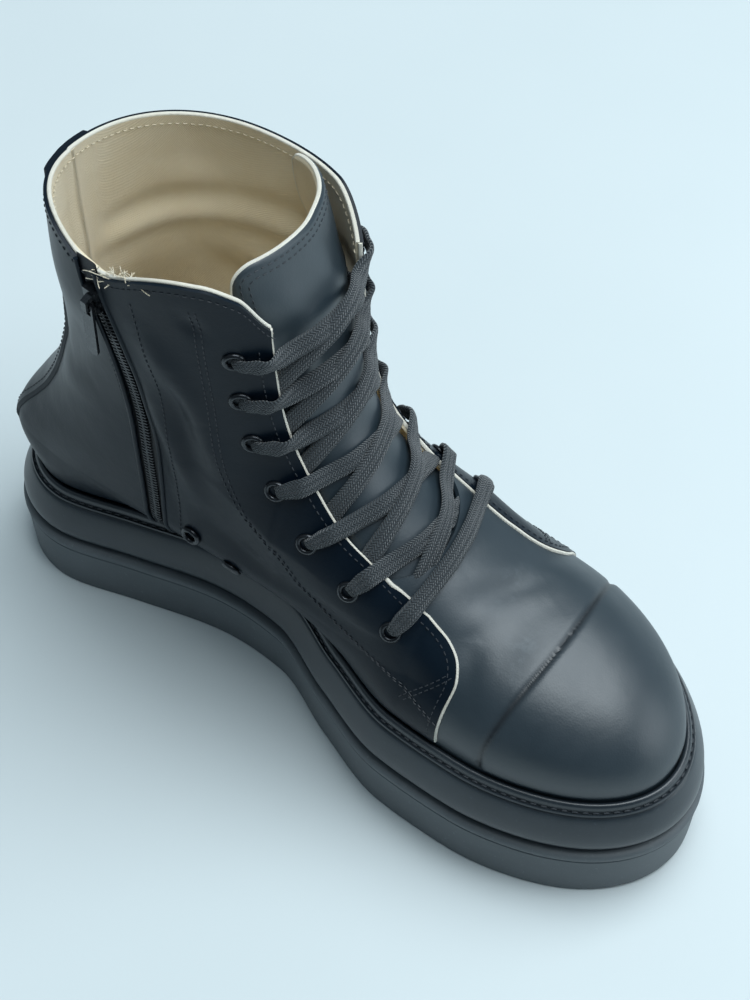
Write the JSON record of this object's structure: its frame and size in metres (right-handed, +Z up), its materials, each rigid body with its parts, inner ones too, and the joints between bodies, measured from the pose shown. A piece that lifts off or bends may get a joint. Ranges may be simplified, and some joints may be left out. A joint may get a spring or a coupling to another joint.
{
  "type": "platform boot",
  "caption": "Ankle-high lace-up leather boot for the left foot on a thick flat platform sole, with a storm welt, stood-up tongue and an inner side zip, standing empty and unbent.",
  "frame": {"origin": "middle of the boot's length and width on the floor plane under its sole", "axes": "+Z up from the floor, toe towards -Y, heel towards +Y, outer side of the left foot towards +X"},
  "size_m": [0.1082, 0.29, 0.2185],
  "materials": {
    "leather": "smooth blue-black leather with a soft gloss",
    "rubber": "matte dark grey moulded rubber",
    "band": "smooth semi-gloss dark rubber",
    "welt": "dark stitched welt, soft gloss",
    "canvas": "undyed cotton canvas",
    "cord": "flat woven black cotton",
    "metal": "black enamelled metal"
  },
  "bodies": {
    "boot": {"outsole": "rubber", "midsole": "band", "storm_welt": "welt", "insole": "canvas", "upper": "leather", "backstay": "leather", "tongue": "leather", "eyelet_inner_1": "metal", "eyelet_outer_1": "metal", "eyelet_inner_2": "metal", "eyelet_outer_2": "metal", "eyelet_inner_3": "metal", "eyelet_outer_3": "metal", "eyelet_inner_4": "metal", "eyelet_outer_4": "metal", "eyelet_inner_5": "metal", "eyelet_outer_5": "metal", "eyelet_inner_6": "metal", "eyelet_outer_6": "metal", "eyelet_inner_7": "metal", "eyelet_outer_7": "metal", "vent_eyelet_1": "metal", "vent_eyelet_2": "metal", "lace": "cord", "zip_tape": "canvas", "zip_chain": "metal", "zip_slider": "metal"},
    "pull_tab": {"zip_pull": "metal"}
  },
  "joints": [
    {"name": "zip_pull_hinge", "type": "hinge", "parent": "boot", "child": "pull_tab", "pos_m": [-0.03979, 0.07556, 0.19471], "axis": [0.1531, 0.9882, 0], "range_deg": [0, 165]}
  ]
}
